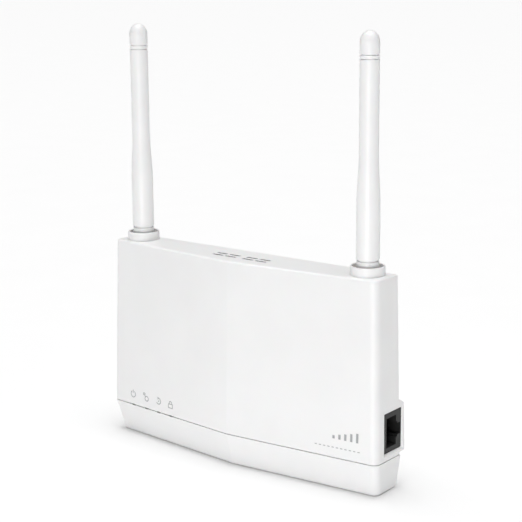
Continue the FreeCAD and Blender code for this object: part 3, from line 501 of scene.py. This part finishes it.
def ontoWall(tree, geometry, given):
    # Keeps x and z, and moves y to the wall that a ray meets, plus a flattened share of its thickness
    at = addNode(tree, "ShaderNodeSeparateXYZ", {0: addNode(tree, "GeometryNodeInputPosition")}).outputs
    wall = addNode(tree, "GeometryNodeObjectInfo", {"Object": given["Wall"]}).outputs["Geometry"]
    start = addNode(tree, "ShaderNodeCombineXYZ", {"X": at["X"], "Y": given["From"], "Z": at["Z"]})
    way = addNode(tree, "ShaderNodeMath", {0: given["From"], 1: -1.0}, operation="MULTIPLY")
    way = addNode(tree, "ShaderNodeCombineXYZ", {"Y": way})
    hit = addNode(tree, "GeometryNodeRaycast", {"Target Geometry": wall, "Source Position": start,
                                                "Ray Direction": way, "Ray Length": 0.2})
    hitY = addNode(tree, "ShaderNodeSeparateXYZ", {0: hit.outputs["Hit Position"]}).outputs["Y"]
    thin = addNode(tree, "ShaderNodeMath", {0: at["Y"], 1: given["Flatten"], 2: hitY},
                   operation="MULTIPLY_ADD")
    moved = addNode(tree, "ShaderNodeCombineXYZ", {"X": at["X"], "Y": thin, "Z": at["Z"]})
    return addNode(tree, "GeometryNodeSetPosition", {"Geometry": geometry, "Position": moved})


wallInputs = [("Wall", "Object", None), ("From", "Float", -0.1), ("Flatten", "Float", 0.1),
              ("Material", "Material", None)]


def strokesTree():
    # Round strokes along edges, with closed ends
    tree, given = newTree("printedStrokes",
                          [("Stroke", "Float", 0.0004), ("Step", "Float", 0.0002)] + wallInputs)
    line = addNode(tree, "GeometryNodeMeshToCurve", {"Mesh": given["Geometry"]})
    even = addNode(tree, "GeometryNodeResampleCurve", {"Curve": line, "Length": given["Step"]},
                   mode="LENGTH")
    half = addNode(tree, "ShaderNodeMath", {0: given["Stroke"], 1: 0.5}, operation="MULTIPLY")
    ring = addNode(tree, "GeometryNodeCurvePrimitiveCircle", {"Resolution": 8, "Radius": half})
    tube = addNode(tree, "GeometryNodeCurveToMesh",
                   {"Curve": even, "Profile Curve": ring, "Fill Caps": True})
    endTree(tree, ontoWall(tree, tube, given), given["Material"])
    return tree


def dashesTree():
    # A row of short dashes: one rounded dash on every point of a line
    tree, given = newTree("printedDashes", [
        ("Count", "Int", 10), ("Start", "Vector", None), ("Pitch", "Float", 0.001),
        ("Length", "Float", 0.001), ("Stroke", "Float", 0.0004)] + wallInputs)
    across = addNode(tree, "ShaderNodeCombineXYZ", {"X": given["Pitch"]})
    row = addNode(tree, "GeometryNodeMeshLine",
                  {"Count": given["Count"], "Start Location": given["Start"], "Offset": across})
    end = addNode(tree, "ShaderNodeCombineXYZ", {"X": given["Length"]})
    line = addNode(tree, "GeometryNodeCurvePrimitiveLine", {"End": end})
    even = addNode(tree, "GeometryNodeResampleCurve", {"Curve": line, "Count": 6}, mode="COUNT")
    half = addNode(tree, "ShaderNodeMath", {0: given["Stroke"], 1: 0.5}, operation="MULTIPLY")
    ring = addNode(tree, "GeometryNodeCurvePrimitiveCircle", {"Resolution": 8, "Radius": half})
    dash = addNode(tree, "GeometryNodeCurveToMesh",
                   {"Curve": even, "Profile Curve": ring, "Fill Caps": True})
    many = addNode(tree, "GeometryNodeInstanceOnPoints", {"Points": row, "Instance": dash})
    loose = addNode(tree, "GeometryNodeRealizeInstances", {"Geometry": many})
    endTree(tree, ontoWall(tree, loose, given), given["Material"])
    return tree


printedStrokes, printedDashes = strokesTree(), dashesTree()
infront, behind = -0.1, 0.1   # where the rays start that find the wall


def polyline(points, closed=False):
    edges = [(i, i + 1) for i in range(len(points) - 1)]
    return points, edges + ([(len(points) - 1, 0)] if closed else [])


def gather(lines):
    # Several polylines as one list of points and one of edges
    points, edges = [], []
    for linePoints, lineEdges in lines:
        edges += [(a + len(points), b + len(points)) for a, b in lineEdges]
        points += linePoints
    return points, edges


symbols = {"x": (-56.5, -48.4, -40.4, -33.0), "z": 19.1, "half": 1.7, "stroke": 0.4, "step": 0.15,
           "flatten": 0.12}


def symbolLines(s):
    # Each symbol is drawn in a square of +-1
    power = [polyline(arc((0, -0.15), 0.82, 118, 422, 22)), polyline([(0, 0.15), (0, 1.0)])]
    link = [polyline(arc((0.3, -0.35), 0.62, 0, 345, 18), True), polyline([(-0.15, 0.15), (-0.42, 0.5)]),
            polyline([(-0.85, 0.5), (-0.3, 0.5), (-0.3, 1.0), (-0.85, 1.0)], True)]
    arrow = [polyline(arc((0, 0), 0.78, -150, 95, 18)), polyline([(-0.1, -0.15), (0.25, 0.2)]),
             polyline([(-0.35, 1.05), (-0.02, 0.78), (-0.35, 0.45)])]
    padlock = [polyline([(-0.72, -0.85), (0.72, -0.85), (0.72, 0.15), (-0.72, 0.15)], True),
               polyline([(-0.42, 0.15), (-0.42, 0.45)] + arc((0, 0.45), 0.42, 180, 0, 10)
                        + [(0.42, 0.15)])]
    lines = []
    for x, parts in zip(s["x"], (power, link, arrow, padlock)):
        for points, edges in parts:
            lines.append(([(x + s["half"] * u, s["z"] + s["half"] * v) for u, v in points], edges))
    return gather(lines)


levelSign = {"x": 50.2, "z": 21.9, "pitch": 2.6, "bars": 5, "low": 1.3, "growth": 0.62, "stroke": 1.0,
             "flatten": 0.05, "step": 0.2}


def signLines(s):
    # Five bars that rise to the right
    lines = []
    for i in range(s["bars"]):
        x = s["x"] + s["pitch"] * i
        lines.append(polyline([(x, s["z"]), (x, s["z"] + s["low"] + s["growth"] * i)]))
    return gather(lines)


labelRules = {"margin": 1.6, "rows": 6, "column": 0.38, "stroke": 0.22, "flatten": 0.12, "step": 0.4,
              "corner": 1.0}


def labelLines(s):
    # A ruled frame on the blank label
    low, high = (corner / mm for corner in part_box("rating_label"))
    x0, x1, z0, z1 = (low.x + s["margin"], high.x - s["margin"],
                      low.z + s["margin"], high.z - s["margin"])
    c = s["corner"]
    border = arc((x1 - c, z1 - c), c, 0, 90, 5) + arc((x0 + c, z1 - c), c, 90, 180, 5) \
        + arc((x0 + c, z0 + c), c, 180, 270, 5) + arc((x1 - c, z0 + c), c, 270, 360, 5)
    step, column = (z1 - z0) / s["rows"], x0 + (x1 - x0) * s["column"]
    rules = [polyline([(x0, z0 + step * i), (x1, z0 + step * i)]) for i in range(1, s["rows"])]
    rules.append(polyline([(column, z0), (column, z1 - step)]))
    return gather([polyline(border, True)] + rules)


def printMarks(name, lines, look, wall, start):
    points, edges = lines
    values = {"Stroke": look["stroke"] * mm, "Step": look["step"] * mm, "Wall": nodes[wall],
              "From": start, "Flatten": look["flatten"], "Material": materials["greyPadInk"]}
    points = [(x * mm, 0, z * mm) for x, z in points]
    grow(name, printedStrokes, points, edges, values, "casing")


printMarks("lampSymbols", symbolLines(symbols), symbols, "front_shell", infront)
printMarks("levelBars", signLines(levelSign), levelSign, "front_shell", infront)
printMarks("labelRules", labelLines(labelRules), labelRules, "rating_label", behind)
dashRow = {"x": 41.8, "z": 18.3, "count": 11, "pitch": 1.9, "length": 1.0, "stroke": 0.34,
           "flatten": 0.12}
grow("signDashes", printedDashes, [(0, 0, 0)], [], {
    "Count": dashRow["count"], "Start": Vector((dashRow["x"], 0, dashRow["z"])) * mm,
    "Pitch": dashRow["pitch"] * mm, "Length": dashRow["length"] * mm, "Stroke": dashRow["stroke"] * mm,
    "Wall": nodes["front_shell"], "From": infront, "Flatten": dashRow["flatten"],
    "Material": materials["greyPadInk"]}, "casing")
print("marks: done")


def wiresTree():
    # One bent wire, repeated across the socket
    tree, given = newTree("sprungWires", [
        ("Count", "Int", 8), ("Pitch", "Float", 0.001), ("Wire", "Float", 0.0004),
        ("Bend", "Float", 0.0004), ("Material", "Material", None)])
    line = addNode(tree, "GeometryNodeMeshToCurve", {"Mesh": given["Geometry"]})
    bent = addNode(tree, "GeometryNodeFilletCurve", {"Curve": line, "Radius": given["Bend"], "Count": 5},
                   mode="POLY")
    half = addNode(tree, "ShaderNodeMath", {0: given["Wire"], 1: 0.5}, operation="MULTIPLY")
    ring = addNode(tree, "GeometryNodeCurvePrimitiveCircle", {"Resolution": 10, "Radius": half})
    wire = addNode(tree, "GeometryNodeCurveToMesh",
                   {"Curve": bent, "Profile Curve": ring, "Fill Caps": True})
    smooth = addNode(tree, "GeometryNodeSetShadeSmooth", {"Geometry": wire})
    up = addNode(tree, "ShaderNodeCombineXYZ", {"Z": given["Pitch"]})
    row = addNode(tree, "GeometryNodeMeshLine", {"Count": given["Count"], "Offset": up})
    many = addNode(tree, "GeometryNodeInstanceOnPoints", {"Points": row, "Instance": smooth})
    endTree(tree, many, given["Material"])
    return tree


contacts = {"count": 8, "pitch": 1.016, "wire": 0.4, "bend": 0.8, "nose": 0.6}


def lanContacts(c):
    # The wires rise from the mouth's foot and turn down again at their inner end
    low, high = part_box("lan_contacts")
    half, nose = c["wire"] / 2 * mm, c["nose"] * mm
    path = [(high.x, low.y + half), (high.x - nose, low.y + half), (low.x + nose, high.y - half),
            (low.x + half, high.y - nose)]
    path = [(x, y, low.z + half) for x, y in path]
    grow("lanContacts", wiresTree(), path, [(0, 1), (1, 2), (2, 3)], {
        "Count": c["count"], "Pitch": c["pitch"] * mm, "Wire": c["wire"] * mm, "Bend": c["bend"] * mm,
        "Material": materials["goldPlatedContact"]}, "casing", ["lan_contacts"])


lanContacts(contacts)


floorLook = {"size": 60.0, "colour": "#fbfbfb", "shade": "#f9f9f9", "grain": 40}


def paleFloor(look):
    material, tree, shader, place = startMaterial("palePaper", Roughness=0.9)
    cloud = addNode(tree, "ShaderNodeTexNoise",
                    {"Vector": place, "Scale": 1 / look["grain"], "Detail": 2.0})
    colour = addNode(tree, "ShaderNodeMix", {"Factor": cloud, 6: look["colour"], 7: look["shade"]},
                     data_type="RGBA")
    tree.links.new(colour.outputs[2], shader.inputs["Base Color"])
    half = look["size"] / 2
    mesh = bpy.data.meshes.new("floor")
    corners = [(-half, -half, 0), (half, -half, 0), (half, half, 0), (-half, half, 0)]
    mesh.from_pydata(corners, [], [(0, 1, 2, 3)])
    mesh.materials.append(material)
    floor = bpy.data.objects.new("floor", mesh)
    bpy.context.scene.collection.objects.link(floor)
    return floor


tent = {"base": 0.06, "overhead": 7.0, "spread": 12.0, "paper": 0.97}


def softTent(look):
    # A white tent, brightest overhead; past the floor's edge the eye meets pale paper
    world = bpy.data.worlds.new("tent")
    bpy.context.scene.world = world
    world.use_nodes = True
    tree = world.node_tree
    tree.nodes.clear()
    way = addNode(tree, "ShaderNodeTexCoord").outputs["Generated"]
    height = addNode(tree, "ShaderNodeSeparateXYZ", {0: way}).outputs["Z"]
    height = addNode(tree, "ShaderNodeMath", {0: height, 1: 0.0}, operation="MAXIMUM")
    height = addNode(tree, "ShaderNodeMath", {0: height, 1: look["spread"]}, operation="POWER")
    total = addNode(tree, "ShaderNodeMath", {0: height, 1: look["overhead"], 2: look["base"]},
                    operation="MULTIPLY_ADD")
    light = addNode(tree, "ShaderNodeBackground", {"Color": (1, 1, 1, 1), "Strength": total})
    paper = addNode(tree, "ShaderNodeBackground", {"Color": (1, 1, 1, 1), "Strength": look["paper"]})
    seen = addNode(tree, "ShaderNodeLightPath").outputs["Is Camera Ray"]
    both = addNode(tree, "ShaderNodeMixShader", {0: seen, 1: light, 2: paper})
    addNode(tree, "ShaderNodeOutputWorld", {"Surface": both})


keyBox = {"azimuth": 28, "elevation": -6, "distance": 0.75, "size": 0.28, "watts": 2.05}


def softBox(name, look, skips):
    # A round soft box that faces the object; what it skips is neither lit nor in its way
    azimuth, elevation = math.radians(look["azimuth"]), math.radians(look["elevation"])
    aim = (cadBox[0] + cadBox[1]) / 2
    way = Vector((math.sin(azimuth) * math.cos(elevation), -math.cos(azimuth) * math.cos(elevation),
                  math.sin(elevation)))
    data = bpy.data.lights.new(name, "AREA")
    data.shape, data.size, data.energy = "DISK", look["size"], look["watts"]
    light = bpy.data.objects.new(name, data)
    light.location = aim + way * look["distance"]
    light.rotation_euler = way.to_track_quat("Z", "Y").to_euler()
    light.visible_camera = False
    bpy.context.scene.collection.objects.link(light)
    flagged = bpy.data.collections.new(name + "Skips")
    for piece in skips:
        flagged.objects.link(piece)
    light.light_linking.receiver_collection = flagged
    light.light_linking.blocker_collection = flagged
    for entry in flagged.collection_objects:
        entry.light_linking.link_state = "EXCLUDE"


lens = {"at": (330.21, -410.20, 201.12), "yaw": 38.113, "pitch": 12.536, "roll": -0.464,
        "focal": 91.93, "sensor": 36.0}


def placeCamera(look):
    yaw, pitch, roll = (math.radians(look[k]) for k in ("yaw", "pitch", "roll"))
    forward = Vector((-math.sin(yaw) * math.cos(pitch), math.cos(yaw) * math.cos(pitch),
                      -math.sin(pitch)))
    right = forward.cross(Vector((0, 0, 1))).normalized()
    up = right.cross(forward)
    acrossView = right * math.cos(roll) + up * math.sin(roll)
    upView = up * math.cos(roll) - right * math.sin(roll)
    data = bpy.data.cameras.new("camera")
    data.lens, data.sensor_width = look["focal"], look["sensor"]
    data.clip_start, data.clip_end = 0.01, 50
    camera = bpy.data.objects.new("camera", data)
    camera.matrix_world = Matrix.Translation(Vector(look["at"]) * mm) @ Matrix(
        (acrossView, upView, -forward)).transposed().to_4x4()
    bpy.context.scene.collection.objects.link(camera)
    bpy.context.scene.camera = camera


floor = paleFloor(floorLook)
softTent(tent)
softBox("keyBox", keyBox, [floor])
placeCamera(lens)
bpy.context.scene.view_settings.view_transform = "Standard"
print("stage: done")
